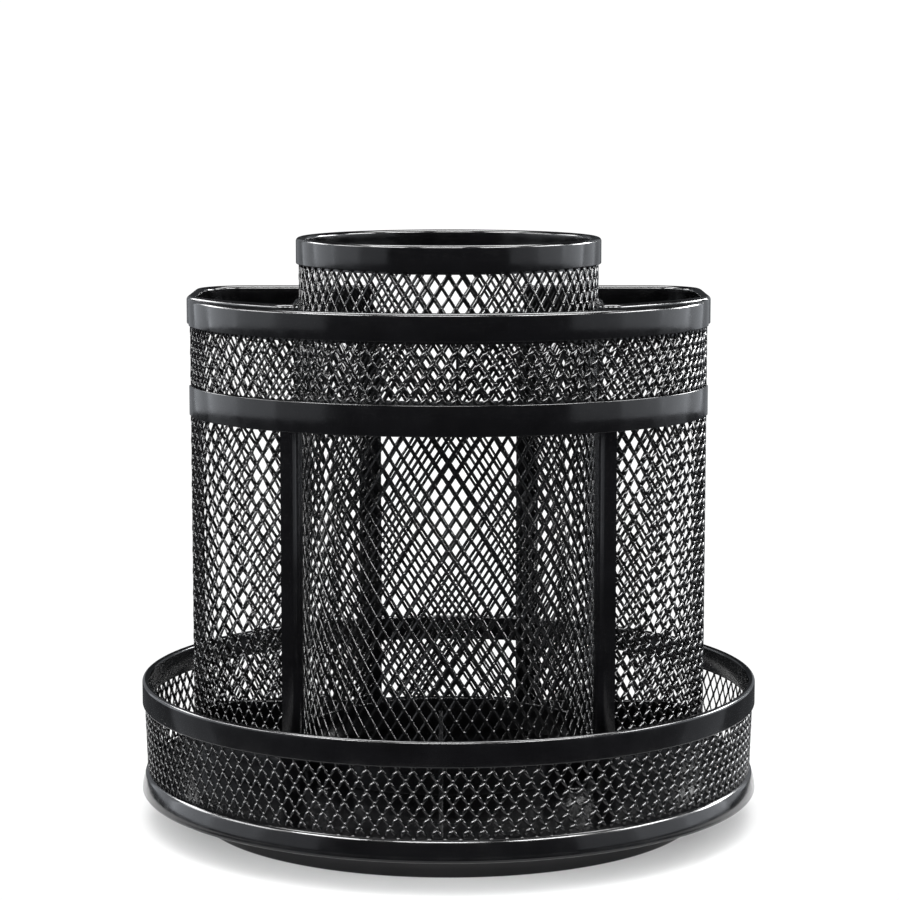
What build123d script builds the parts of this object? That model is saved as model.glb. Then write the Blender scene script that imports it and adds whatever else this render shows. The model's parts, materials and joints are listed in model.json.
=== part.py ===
from build123d import *
import os

os.makedirs("parts", exist_ok=True)

# Rotating desk organiser in coated steel: a round mesh tray on a turntable foot.
# The tray carries a tall round cup, a bin on each side and a shelf across the front.
# Origin at the middle of the foot on the desk, +Z up, front of the object towards -Y.

# ---------------------------------------------------------------- driving sizes
SHEET = 0.8                 # pressed sheet steel
MESH = 0.6                  # expanded metal sheet, plain sheet here
FIT = 0.05                  # gap between pieces that are pressed together
TOP_GRIP = 2.4              # solid roll above the mesh in a folded rim
BAND_HALF = 1.2             # half thickness of the folded bin rim
BASE_HALF = 0.75            # half thickness of the channels on the tray floor

# foot and turntable
FOOT_R = 72.6
FOOT_TOP = 8.5
FOOT_GAP = 0.3              # rolled hem above the desk
FOOT_BEND = 3.4             # outside radius of the shoulder
HEM_R = 0.7
PAD_R = 6.0
PAD_CIRCLE = 62.0
PAD_BEVEL = 0.6
RACE_IN = 46.0
RACE_STEP = 52.5
RACE_OUT = 60.0
BALL_R = 1.6
BALL_CIRCLE = 56.0
BALL_Z = 11.15
BALL_COUNT = 30
RACE_HALF_GAP = 0.55        # race face to the middle plane of the balls
CAGE_IN = 53.4
CAGE_OUT = 58.6
CAGE_HALF = 0.4
RIVET_CIRCLE = 49.3
RIVET_R = 1.5
RIVET_HEAD_R = 2.5
RIVET_HEAD = 0.8
RIVET_DOME = 0.5
PIN_R = 3.0
PIN_RUN = 0.06              # running fit of the pin in its bushing
PIN_BELOW = 3.6             # pin below the top of the foot
PIN_HEAD_R = 6.5
PIN_HEAD = 1.6
PIN_DOME = 1.2
PIN_BEVEL = 0.4
BUSH_R = 5.0
BUSH_FLANGE_R = 8.5
BUSH_FLANGE = 2.6
RETAINER_R = 8.0
RETAINER = 0.7
RETAINER_DROP = 1.1         # underside of the retainer below the foot sheet

# round tray
FLOOR_Z = 15.2              # top of the tray floor
SKIRT_R = 88.8
SHOULDER_R = 86.0           # the floor is flat out to here
CROWN_R = 87.6              # middle of the sheet where the crown meets the skirt
CROWN_DROP = 1.6            # that place below the tray floor
SKIRT_LOW = 9.45            # middle of the bead along the lower edge
BEAD_R = 0.75
TRAY_R = 88.5               # outside of the tray rim
TRAY_MESH_LOW_R = 86.9
TRAY_MESH_TOP_R = 87.6
TRAY_MESH_TOP = 38.9
TRAY_RIM_LOW = 34.2
TRAY_RIM_TOP = 41.2
TRAY_RIM_T = 1.9
TRAY_SLOT = 0.84            # groove in the rim, wide enough for the flared wall

# cup in the middle
CUP_MESH_R = 42.4
CUP_RIM_R = 43.5
CUP_RIM_IN = 41.3
CUP_RIM_LOW = 160.0
CUP_TOP = 167.4
CUP_CLEAR = 43.25           # other walls stop here
CUP_INSIDE_X = 15.0         # bin outlines close inside the cup along these lines
CUP_INSIDE_Y = -4.0

# bins at the sides
BIN_X = 73.5
BIN_REAR_Y = 38.2
BIN_REAR_END = 22.6         # rear walls stop here beside the cup
BIN_INNER_END = -15.0       # inner front walls stop here beside the cup
BIN_SIDE_FRONT = -5.6
BIN_BOW_X = 59.85           # middle of the bowed front wall
BIN_BOW_Y = -24.0
POST_X = 42.0               # front inner corner of a bin
POST_Y = -38.4
BIN_REAR_R = 13.0
BIN_FRONT_R = 14.0
BIN_POST_R = 2.5
BIN_RIM_LOW = 143.0
BIN_RIM_TOP = 150.9
BASE_STRIP_TOP = 24.4
BIN_GAP = 1.55              # shelf pieces stay this far from the middle of a bin wall
POST_GAP = 0.8              # posts stand this far off the middle of a bin wall
REAR_POST_X = 23.7
REAR_POST_W = 6.6

# shelf across the front
SHELF_A = 74.3              # half width
SHELF_B = 60.5              # reach towards the front
SHELF_END = -8.0            # the shelf bands stop here
SHELF_LOW = 117.3
SHELF_BAND_TOP = 125.8
SHELF_FLOOR = 125.0
SHELF_RIM_LOW = 142.6
SHELF_RIM_TOP = 150.3
SHELF_BAND = 2.4            # thickness of the folded shelf rim
SHELF_ROLL = 4.2            # solid part of the shelf rim above the mesh
SHELF_DIVIDER_X = 2.4
SHELF_DIVIDER = 0.8

# tray divider
DIVIDER_X = -2.0
DIVIDER_TOP = 40.6
DIVIDER = 1.0
DIVIDER_FRONT = -86.2       # lower front edge, against the tray wall
DIVIDER_LEAN = 0.7          # the front edge leans in by this near the top
DIVIDER_ROUND = 5.0


# ---------------------------------------------------------------- shared outlines
def bin_area(side, grow):
    """Plan area of one bin, closed across the inside of the cup."""
    with BuildSketch(Plane.XY, mode=Mode.PRIVATE) as area:
        with BuildLine():
            Polyline(
                (side * POST_X, POST_Y),
                (side * POST_X, CUP_INSIDE_Y),
                (side * CUP_INSIDE_X, CUP_INSIDE_Y),
                (side * CUP_INSIDE_X, BIN_REAR_Y),
                (side * BIN_X, BIN_REAR_Y),
                (side * BIN_X, BIN_SIDE_FRONT),
            )
            ThreePointArc(
                (side * BIN_X, BIN_SIDE_FRONT),
                (side * BIN_BOW_X, BIN_BOW_Y),
                (side * POST_X, POST_Y),
            )
        make_face()
        rear = area.vertices().sort_by_distance((side * BIN_X, BIN_REAR_Y, 0))[0]
        fillet(rear, radius=BIN_REAR_R)
        front = area.vertices().sort_by_distance((side * BIN_X, BIN_SIDE_FRONT, 0))[0]
        fillet(front, radius=BIN_FRONT_R)
        post = area.vertices().sort_by_distance((side * POST_X, POST_Y, 0))[0]
        fillet(post, radius=BIN_POST_R)
        if grow != 0:
            offset(amount=grow, mode=Mode.REPLACE)
    return area.sketch


def shelf_area(inset):
    """Plan area inside the front curve of the shelf, drawn in by inset."""
    half_width = SHELF_A - inset
    reach = SHELF_B - inset
    with BuildSketch(Plane.XY, mode=Mode.PRIVATE) as area:
        Ellipse(half_width, reach)
        with Locations((0, SHELF_END + SHELF_B)):
            Rectangle(2.2 * SHELF_A, 2 * SHELF_B, mode=Mode.SUBTRACT)
    return area.sketch


def cup_zone():
    """Plan area kept free around the cup, squared where the bin walls end."""
    with BuildSketch(Plane.XY, mode=Mode.PRIVATE) as area:
        Circle(CUP_CLEAR)
        with Locations((0, BIN_INNER_END / 2)):
            Rectangle(2 * (POST_X + 2.0), -BIN_INNER_END)
        with Locations((0, CUP_CLEAR / 2)):
            Rectangle(2 * BIN_REAR_END, CUP_CLEAR)
    return area.sketch


BIN_CLEAR_RIGHT = bin_area(1, BIN_GAP)
BIN_CLEAR_LEFT = bin_area(-1, BIN_GAP)
CUP_ZONE = cup_zone()


# ---------------------------------------------------------------- foot and turntable
# Foot: shallow pressed dish, open underneath, hem curled round its lower edge.
with BuildPart() as foot_dish:
    with BuildSketch(Plane.XZ):
        with BuildLine():
            top = Line((BUSH_R + FIT, FOOT_TOP - SHEET / 2), (FOOT_R - FOOT_BEND, FOOT_TOP - SHEET / 2))
            bend = TangentArc(
                top @ 1,
                (FOOT_R - SHEET / 2, FOOT_TOP - FOOT_BEND),
                tangent=(1, 0),
            )
            Line(bend @ 1, (FOOT_R - SHEET / 2, FOOT_GAP + HEM_R))
        trace(line_width=SHEET)
        with Locations((FOOT_R - HEM_R, FOOT_GAP + HEM_R)):
            Circle(HEM_R)
    revolve(axis=Axis.Z)
    with BuildSketch(Plane.XY.offset(FOOT_TOP - 2 * SHEET)):
        with PolarLocations(RIVET_CIRCLE, 4):
            Circle(RIVET_R + FIT)
    extrude(amount=3 * SHEET, mode=Mode.SUBTRACT)
foot_dish.part.label = "foot_dish"
export_step(foot_dish.part, "parts/foot_dish.step")

# Four soft pads under the foot keep it from sliding on the desk.
with BuildPart() as rubber_feet:
    with BuildSketch(Plane.XY):
        with PolarLocations(PAD_CIRCLE, 4, start_angle=45):
            Circle(PAD_R)
    extrude(amount=FOOT_TOP - SHEET)
    chamfer(rubber_feet.faces().sort_by(Axis.Z)[0:4].edges(), length=PAD_BEVEL)
rubber_feet.part.label = "rubber_feet"
export_step(rubber_feet.part, "parts/rubber_feet.step")

# Lower race of the turntable with a round groove for the balls.
with BuildPart() as lower_race:
    with BuildSketch(Plane.XY.offset(FOOT_TOP)):
        Circle(RACE_OUT)
        Circle(RACE_IN, mode=Mode.SUBTRACT)
    extrude(amount=SHEET)
    with BuildSketch(Plane.XY.offset(FOOT_TOP)):
        Circle(RACE_OUT)
        Circle(RACE_STEP, mode=Mode.SUBTRACT)
    extrude(amount=BALL_Z - RACE_HALF_GAP - FOOT_TOP)
    with BuildSketch(Plane.XZ):
        with Locations((BALL_CIRCLE, BALL_Z)):
            Circle(BALL_R + FIT)
    revolve(axis=Axis.Z, mode=Mode.SUBTRACT)
    with BuildSketch(Plane.XY.offset(FOOT_TOP)):
        with PolarLocations(RIVET_CIRCLE, 4):
            Circle(RIVET_R + FIT)
    extrude(amount=SHEET, mode=Mode.SUBTRACT)
lower_race.part.label = "lower_race"
export_step(lower_race.part, "parts/lower_race.step")

# Rivets that hold the lower race to the foot.
with BuildPart() as lower_race_rivets:
    with BuildSketch(Plane.XY.offset(FOOT_TOP - SHEET - RIVET_HEAD)):
        with PolarLocations(RIVET_CIRCLE, 4):
            Circle(RIVET_HEAD_R)
    extrude(amount=RIVET_HEAD)
    with BuildSketch(Plane.XY.offset(FOOT_TOP - SHEET)):
        with PolarLocations(RIVET_CIRCLE, 4):
            Circle(RIVET_R)
    extrude(amount=2 * SHEET)
    with BuildSketch(Plane.XY.offset(FOOT_TOP + SHEET)):
        with PolarLocations(RIVET_CIRCLE, 4):
            Circle(RIVET_HEAD_R)
    extrude(amount=RIVET_HEAD)
lower_race_rivets.part.label = "lower_race_rivets"
export_step(lower_race_rivets.part, "parts/lower_race_rivets.step")

# Plain bushing in the middle of the foot; the pivot pin turns in it.
with BuildPart() as pivot_bushing:
    with BuildSketch(Plane.XY.offset(FOOT_TOP - SHEET)):
        Circle(BUSH_R)
    extrude(amount=SHEET)
    with BuildSketch(Plane.XY.offset(FOOT_TOP)):
        Circle(BUSH_FLANGE_R)
    extrude(amount=BUSH_FLANGE)
    with BuildSketch(Plane.XY.offset(FOOT_TOP - SHEET)):
        Circle(PIN_R + PIN_RUN)
    extrude(amount=SHEET + BUSH_FLANGE, mode=Mode.SUBTRACT)
pivot_bushing.part.label = "pivot_bushing"
export_step(pivot_bushing.part, "parts/pivot_bushing.step")

# Ball cage: a flat ring with one pocket for each ball.
with BuildPart() as ball_cage:
    with BuildSketch(Plane.XY.offset(BALL_Z - CAGE_HALF)):
        Circle(CAGE_OUT)
        Circle(CAGE_IN, mode=Mode.SUBTRACT)
        with PolarLocations(BALL_CIRCLE, BALL_COUNT):
            Circle(BALL_R + 0.1, mode=Mode.SUBTRACT)
    extrude(amount=2 * CAGE_HALF)
ball_cage.part.label = "ball_cage"
export_step(ball_cage.part, "parts/ball_cage.step")

# Bearing balls.
with BuildPart() as bearing_balls:
    with Locations((0, 0, BALL_Z)):
        with PolarLocations(BALL_CIRCLE, BALL_COUNT):
            Sphere(BALL_R)
bearing_balls.part.label = "bearing_balls"
export_step(bearing_balls.part, "parts/bearing_balls.step")

# Upper race, fixed under the tray floor, groove facing down.
with BuildPart() as upper_race:
    with BuildSketch(Plane.XY.offset(FLOOR_Z - 2 * SHEET)):
        Circle(RACE_OUT)
        Circle(RACE_IN, mode=Mode.SUBTRACT)
    extrude(amount=SHEET)
    with BuildSketch(Plane.XY.offset(BALL_Z + RACE_HALF_GAP)):
        Circle(RACE_OUT)
        Circle(RACE_STEP, mode=Mode.SUBTRACT)
    extrude(amount=FLOOR_Z - SHEET - BALL_Z - RACE_HALF_GAP)
    with BuildSketch(Plane.XZ):
        with Locations((BALL_CIRCLE, BALL_Z)):
            Circle(BALL_R + FIT)
    revolve(axis=Axis.Z, mode=Mode.SUBTRACT)
    with BuildSketch(Plane.XY.offset(FLOOR_Z - 2 * SHEET)):
        with PolarLocations(RIVET_CIRCLE, 4, start_angle=45):
            Circle(RIVET_R + FIT)
    extrude(amount=SHEET, mode=Mode.SUBTRACT)
upper_race.part.label = "upper_race"
export_step(upper_race.part, "parts/upper_race.step")

# Rivets that hold the upper race to the tray floor.
with BuildPart() as upper_race_rivets:
    with BuildSketch(Plane.XY.offset(FLOOR_Z - 2 * SHEET - RIVET_HEAD)):
        with PolarLocations(RIVET_CIRCLE, 4, start_angle=45):
            Circle(RIVET_HEAD_R)
    extrude(amount=RIVET_HEAD)
    with BuildSketch(Plane.XY.offset(FLOOR_Z - 2 * SHEET)):
        with PolarLocations(RIVET_CIRCLE, 4, start_angle=45):
            Circle(RIVET_R)
    extrude(amount=2 * SHEET)
    with BuildSketch(Plane.XY.offset(FLOOR_Z)):
        with PolarLocations(RIVET_CIRCLE, 4, start_angle=45):
            Circle(RIVET_HEAD_R)
    extrude(amount=RIVET_HEAD)
    fillet(upper_race_rivets.faces().sort_by(Axis.Z)[-4:].edges(), radius=RIVET_DOME)
upper_race_rivets.part.label = "upper_race_rivets"
export_step(upper_race_rivets.part, "parts/upper_race_rivets.step")

# Pivot pin with a low domed head on the tray floor, turning with the tray.
with BuildPart() as pivot_pin:
    with BuildSketch(Plane.XY.offset(FOOT_TOP - PIN_BELOW)):
        Circle(PIN_R)
    extrude(amount=FLOOR_Z - FOOT_TOP + PIN_BELOW)
    with BuildSketch(Plane.XY.offset(FLOOR_Z)):
        Circle(PIN_HEAD_R)
    extrude(amount=PIN_HEAD)
    fillet(pivot_pin.faces().sort_by(Axis.Z)[-1].edges(), radius=PIN_DOME)
    chamfer(pivot_pin.faces().sort_by(Axis.Z)[0].edges(), length=PIN_BEVEL)
pivot_pin.part.label = "pivot_pin"
export_step(pivot_pin.part, "parts/pivot_pin.step")

# Push-on retaining washer that keeps the pin in the foot.
with BuildPart() as pin_retainer:
    with BuildSketch(Plane.XY.offset(FOOT_TOP - SHEET - RETAINER_DROP)):
        Circle(RETAINER_R)
        Circle(PIN_R + FIT, mode=Mode.SUBTRACT)
    extrude(amount=RETAINER)
pin_retainer.part.label = "pin_retainer"
export_step(pin_retainer.part, "parts/pin_retainer.step")

# ---------------------------------------------------------------- round tray
# Tray pan: floor and spreading skirt pressed from one disc, bead round the lower edge.
with BuildPart() as tray_pan:
    with BuildSketch(Plane.XZ):
        with BuildLine():
            flat = Line(
                (PIN_R + FIT, FLOOR_Z - SHEET / 2),
                (SHOULDER_R, FLOOR_Z - SHEET / 2),
            )
            crown = TangentArc(flat @ 1, (CROWN_R, FLOOR_Z - CROWN_DROP), tangent=(1, 0))
            TangentArc(
                crown @ 1,
                (SKIRT_R - SHEET / 2, SKIRT_LOW + BEAD_R),
                tangent=crown % 1,
            )
        trace(line_width=SHEET)
        with Locations((SKIRT_R - BEAD_R, SKIRT_LOW)):
            Circle(BEAD_R)
    revolve(axis=Axis.Z)
    with BuildSketch(Plane.XY.offset(FLOOR_Z - 2 * SHEET)):
        with PolarLocations(RIVET_CIRCLE, 4, start_angle=45):
            Circle(RIVET_R + FIT)
    extrude(amount=3 * SHEET, mode=Mode.SUBTRACT)
tray_pan.part.label = "tray_pan"
export_step(tray_pan.part, "parts/tray_pan.step")

# Tray wall: a slightly flared ring of expanded metal.
with BuildPart() as tray_mesh:
    with BuildSketch(Plane.XZ):
        with BuildLine():
            Line((TRAY_MESH_LOW_R, FLOOR_Z - 0.06), (TRAY_MESH_TOP_R, TRAY_MESH_TOP))
        trace(line_width=MESH)
    revolve(axis=Axis.Z)
tray_mesh.part.label = "tray_mesh"
export_step(tray_mesh.part, "parts/tray_mesh.step")

# Tray rim: folded band gripping the top of the tray wall.
with BuildPart() as tray_rim:
    with BuildSketch(Plane.XZ) as tray_rim_section:
        with Locations((TRAY_R - TRAY_RIM_T / 2, (TRAY_RIM_LOW + TRAY_RIM_TOP) / 2)):
            Rectangle(TRAY_RIM_T, TRAY_RIM_TOP - TRAY_RIM_LOW)
        fillet(tray_rim_section.vertices().sort_by(Axis.Y)[-2:], radius=0.85)
        fillet(tray_rim_section.vertices().sort_by(Axis.Y)[0:2], radius=0.2)
        with Locations((TRAY_MESH_TOP_R - FIT, TRAY_RIM_LOW)):
            Rectangle(TRAY_SLOT, 2 * (TRAY_MESH_TOP + FIT - TRAY_RIM_LOW), mode=Mode.SUBTRACT)
    revolve(axis=Axis.Z)
tray_rim.part.label = "tray_rim"
export_step(tray_rim.part, "parts/tray_rim.step")

# Divider across the front of the tray, its top corner rounded beside the cup.
with BuildPart() as tray_divider:
    with BuildSketch(Plane.YZ.offset(DIVIDER_X - DIVIDER / 2)) as divider_side:
        with BuildLine():
            Polyline(
                (DIVIDER_FRONT, FLOOR_Z),
                (DIVIDER_FRONT, DIVIDER_TOP - 8.0),
                (DIVIDER_FRONT + DIVIDER_LEAN, DIVIDER_TOP),
                (-CUP_CLEAR - 0.2, DIVIDER_TOP),
                (-CUP_CLEAR - 0.2, FLOOR_Z),
                close=True,
            )
        make_face()
        cup_corner = divider_side.vertices().sort_by_distance((-CUP_CLEAR, DIVIDER_TOP, 0))[0]
        fillet(cup_corner, radius=DIVIDER_ROUND)
    extrude(amount=DIVIDER)
tray_divider.part.label = "tray_divider"
export_step(tray_divider.part, "parts/tray_divider.step")

# ---------------------------------------------------------------- cup
# Cup wall: a plain tube of expanded metal.
with BuildPart() as cup_mesh:
    with BuildSketch(Plane.XY.offset(FLOOR_Z + SHEET + FIT)):
        Circle(CUP_MESH_R + MESH / 2)
        Circle(CUP_MESH_R - MESH / 2, mode=Mode.SUBTRACT)
    extrude(amount=CUP_TOP - TOP_GRIP - FLOOR_Z - SHEET - FIT)
cup_mesh.part.label = "cup_mesh"
export_step(cup_mesh.part, "parts/cup_mesh.step")

# Cup rim: folded band with a rounded top edge.
with BuildPart() as cup_rim:
    with BuildSketch(Plane.XZ) as cup_rim_section:
        with Locations(((CUP_RIM_R + CUP_RIM_IN) / 2, (CUP_RIM_LOW + CUP_TOP) / 2)):
            Rectangle(CUP_RIM_R - CUP_RIM_IN, CUP_TOP - CUP_RIM_LOW)
        fillet(cup_rim_section.vertices().sort_by(Axis.Y)[-2:], radius=1.0)
        fillet(cup_rim_section.vertices().sort_by(Axis.Y)[0:2], radius=0.3)
        with Locations((CUP_MESH_R, CUP_RIM_LOW + 2.0)):
            Rectangle(MESH + 2 * FIT, 2 * (CUP_TOP - CUP_RIM_LOW - 4.3), mode=Mode.SUBTRACT)
    revolve(axis=Axis.Z)
cup_rim.part.label = "cup_rim"
export_step(cup_rim.part, "parts/cup_rim.step")

# Channel on the tray floor that holds the lower edge of the cup wall.
with BuildPart() as cup_base_ring:
    with BuildSketch(Plane.XZ) as cup_base_section:
        with Locations((CUP_MESH_R, (FLOOR_Z + BASE_STRIP_TOP) / 2)):
            Rectangle(2 * BASE_HALF, BASE_STRIP_TOP - FLOOR_Z)
        with Locations((CUP_MESH_R, BASE_STRIP_TOP)):
            Rectangle(
                MESH + 2 * FIT,
                2 * (BASE_STRIP_TOP - FLOOR_Z - SHEET),
                mode=Mode.SUBTRACT,
            )
    revolve(axis=Axis.Z)
cup_base_ring.part.label = "cup_base_ring"
export_step(cup_base_ring.part, "parts/cup_base_ring.step")


# ---------------------------------------------------------------- bins
def make_bin_mesh(side, name):
    """Bin wall of expanded metal from the cup round to the front post."""
    outer = bin_area(side, MESH / 2)
    inner = bin_area(side, -MESH / 2)
    low = FLOOR_Z + SHEET + FIT
    with BuildPart() as bin_mesh:
        with BuildSketch(Plane.XY.offset(low)):
            add(outer)
            add(inner, mode=Mode.SUBTRACT)
            add(CUP_ZONE, mode=Mode.SUBTRACT)
        extrude(amount=BIN_RIM_TOP - TOP_GRIP - 0.1 - low)
    bin_mesh.part.label = name
    export_step(bin_mesh.part, "parts/" + name + ".step")


def make_bin_rim(side, name):
    """Folded band along the top of the bin wall, rounded on top."""
    outer = bin_area(side, BAND_HALF)
    inner = bin_area(side, -BAND_HALF)
    slot_out = bin_area(side, MESH / 2 + FIT)
    slot_in = bin_area(side, -MESH / 2 - FIT)
    with BuildPart() as bin_rim:
        with BuildSketch(Plane.XY.offset(BIN_RIM_LOW)):
            add(outer)
            add(inner, mode=Mode.SUBTRACT)
            add(CUP_ZONE, mode=Mode.SUBTRACT)
        extrude(amount=BIN_RIM_TOP - BIN_RIM_LOW)
        top = bin_rim.faces().sort_by(Axis.Z)[-1]
        fillet(top.edges().filter_by(lambda e: e.length > 3.0), radius=0.9)
        with BuildSketch(Plane.XY.offset(BIN_RIM_LOW)):
            add(slot_out)
            add(slot_in, mode=Mode.SUBTRACT)
        extrude(amount=BIN_RIM_TOP - BIN_RIM_LOW - TOP_GRIP, mode=Mode.SUBTRACT)
    bin_rim.part.label = name
    export_step(bin_rim.part, "parts/" + name + ".step")


def make_bin_base(side, name):
    """Channel on the tray floor that holds the lower edge of the bin wall."""
    outer = bin_area(side, BASE_HALF)
    inner = bin_area(side, -BASE_HALF)
    slot_out = bin_area(side, MESH / 2 + FIT)
    slot_in = bin_area(side, -MESH / 2 - FIT)
    with BuildPart() as bin_base:
        with BuildSketch(Plane.XY.offset(FLOOR_Z)):
            add(outer)
            add(inner, mode=Mode.SUBTRACT)
            add(CUP_ZONE, mode=Mode.SUBTRACT)
        extrude(amount=BASE_STRIP_TOP - FLOOR_Z)
        with BuildSketch(Plane.XY.offset(FLOOR_Z + SHEET)):
            add(slot_out)
            add(slot_in, mode=Mode.SUBTRACT)
        extrude(amount=BASE_STRIP_TOP - FLOOR_Z, mode=Mode.SUBTRACT)
    bin_base.part.label = name
    export_step(bin_base.part, "parts/" + name + ".step")


def make_front_post(side, name):
    """Steel strip folded round the front inner corner of a bin."""
    outer = bin_area(side, POST_GAP + SHEET)
    inner = bin_area(side, POST_GAP)
    with BuildPart() as post:
        with BuildSketch(Plane.XY.offset(FLOOR_Z)):
            add(outer)
            add(inner, mode=Mode.SUBTRACT)
            with Locations((side * (POST_X + 0.9), POST_Y + 2.0)):
                Rectangle(8.0, 14.0, mode=Mode.INTERSECT)
        extrude(amount=SHELF_FLOOR - SHEET - FLOOR_Z)
    post.part.label = name
    export_step(post.part, "parts/" + name + ".step")


def make_rear_post(side, name):
    """Flat strip behind the seam between a bin and the cup."""
    rear = BIN_REAR_Y + POST_GAP + SHEET / 2
    with BuildPart() as post:
        with BuildSketch(Plane.XY.offset(FLOOR_Z)):
            with Locations((side * REAR_POST_X, rear)):
                Rectangle(REAR_POST_W, SHEET)
        extrude(amount=BIN_RIM_LOW - FLOOR_Z - FIT)
    post.part.label = name
    export_step(post.part, "parts/" + name + ".step")


make_bin_mesh(-1, "bin_mesh_left")
make_bin_mesh(1, "bin_mesh_right")
make_bin_rim(-1, "bin_rim_left")
make_bin_rim(1, "bin_rim_right")
make_bin_base(-1, "bin_base_strip_left")
make_bin_base(1, "bin_base_strip_right")
make_front_post(-1, "front_post_left")
make_front_post(1, "front_post_right")
make_rear_post(-1, "rear_post_left")
make_rear_post(1, "rear_post_right")

# ---------------------------------------------------------------- shelf
# Shelf pan: floor with a deep front band folded down and a low lip folded up.
with BuildPart() as shelf_pan:
    with BuildSketch(Plane.XY.offset(SHELF_LOW)):
        add(shelf_area(0))
        add(shelf_area(SHEET), mode=Mode.SUBTRACT)
        add(BIN_CLEAR_LEFT, mode=Mode.SUBTRACT)
        add(BIN_CLEAR_RIGHT, mode=Mode.SUBTRACT)
    extrude(amount=SHELF_BAND_TOP - SHELF_LOW)
    with BuildSketch(Plane.XY.offset(SHELF_FLOOR - SHEET)):
        add(shelf_area(SHEET / 2))
        add(BIN_CLEAR_LEFT, mode=Mode.SUBTRACT)
        add(BIN_CLEAR_RIGHT, mode=Mode.SUBTRACT)
        Circle(CUP_CLEAR, mode=Mode.SUBTRACT)
    extrude(amount=SHEET)
shelf_pan.part.label = "shelf_pan"
export_step(shelf_pan.part, "parts/shelf_pan.step")

# Shelf wall of expanded metal, standing just inside the bands.
with BuildPart() as shelf_mesh:
    with BuildSketch(Plane.XY.offset(SHELF_FLOOR + FIT)):
        add(shelf_area(SHEET + 0.1))
        add(shelf_area(SHEET + 0.1 + MESH), mode=Mode.SUBTRACT)
        add(BIN_CLEAR_LEFT, mode=Mode.SUBTRACT)
        add(BIN_CLEAR_RIGHT, mode=Mode.SUBTRACT)
    extrude(amount=SHELF_RIM_TOP - SHELF_ROLL - SHELF_FLOOR)
shelf_mesh.part.label = "shelf_mesh"
export_step(shelf_mesh.part, "parts/shelf_mesh.step")

# Shelf rim: folded band gripping the top of the shelf wall.
with BuildPart() as shelf_rim:
    with BuildSketch(Plane.XY.offset(SHELF_RIM_LOW)):
        add(shelf_area(0))
        add(shelf_area(SHELF_BAND), mode=Mode.SUBTRACT)
        add(BIN_CLEAR_LEFT, mode=Mode.SUBTRACT)
        add(BIN_CLEAR_RIGHT, mode=Mode.SUBTRACT)
    extrude(amount=SHELF_RIM_TOP - SHELF_RIM_LOW)
    shelf_rim_top = shelf_rim.faces().sort_by(Axis.Z)[-1]
    fillet(shelf_rim_top.edges().filter_by(lambda e: e.length > 60.0), radius=0.9)
    with BuildSketch(Plane.XY.offset(SHELF_RIM_LOW)):
        add(shelf_area(SHEET + 0.1 - FIT))
        add(shelf_area(SHEET + 0.1 + MESH + FIT), mode=Mode.SUBTRACT)
    extrude(amount=SHELF_RIM_TOP - SHELF_RIM_LOW - SHELF_ROLL + 0.2, mode=Mode.SUBTRACT)
shelf_rim.part.label = "shelf_rim"
export_step(shelf_rim.part, "parts/shelf_rim.step")

# Small divider that parts the shelf in two in front of the cup.
with BuildPart() as shelf_divider:
    with BuildSketch(Plane.YZ.offset(SHELF_DIVIDER_X - SHELF_DIVIDER / 2)) as shelf_divider_side:
        with BuildLine():
            Polyline(
                (-SHELF_B + 1.7, SHELF_FLOOR),
                (-SHELF_B + 1.7, SHELF_RIM_LOW - 0.4),
                (-SHELF_B + 2.7, SHELF_RIM_LOW - 0.4),
                (-SHELF_B + 2.7, SHELF_RIM_LOW + 3.0),
                (-CUP_CLEAR - 0.1, SHELF_RIM_LOW + 3.0),
                (-CUP_CLEAR - 0.1, SHELF_FLOOR),
                close=True,
            )
        make_face()
    extrude(amount=SHELF_DIVIDER)
shelf_divider.part.label = "shelf_divider"
export_step(shelf_divider.part, "parts/shelf_divider.step")
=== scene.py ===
import json
from math import atan2, cos, pi, radians, sin, sqrt, tan

import bmesh
import bpy
import numpy as np
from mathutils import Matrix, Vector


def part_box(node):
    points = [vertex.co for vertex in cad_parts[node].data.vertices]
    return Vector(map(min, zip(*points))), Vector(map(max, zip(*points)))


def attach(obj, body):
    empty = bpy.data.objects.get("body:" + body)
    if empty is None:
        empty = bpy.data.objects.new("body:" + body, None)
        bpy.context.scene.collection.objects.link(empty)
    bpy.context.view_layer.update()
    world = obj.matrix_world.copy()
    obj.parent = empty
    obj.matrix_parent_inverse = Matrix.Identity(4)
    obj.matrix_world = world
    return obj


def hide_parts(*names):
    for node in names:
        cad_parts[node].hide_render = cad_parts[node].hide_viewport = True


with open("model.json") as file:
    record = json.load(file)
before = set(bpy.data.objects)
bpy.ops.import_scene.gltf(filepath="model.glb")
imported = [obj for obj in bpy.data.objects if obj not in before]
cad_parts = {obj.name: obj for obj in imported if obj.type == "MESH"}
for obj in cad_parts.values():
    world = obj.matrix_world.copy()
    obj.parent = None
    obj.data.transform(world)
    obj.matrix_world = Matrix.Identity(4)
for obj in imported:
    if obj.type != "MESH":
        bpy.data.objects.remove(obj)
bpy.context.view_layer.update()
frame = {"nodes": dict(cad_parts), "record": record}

# Rotating desk organizer in gloss black steel. All lengths are metres: heights come from the
# boxes of the CAD nodes, and MM turns a size stated in millimetres into metres.
MM = 0.001


# ---------------------------------------------------------------- sizes from the frame
def low(node, axis):
    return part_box(node)[0][axis]


def high(node, axis):
    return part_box(node)[1][axis]


X, Y, Z = 0, 1, 2

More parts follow.
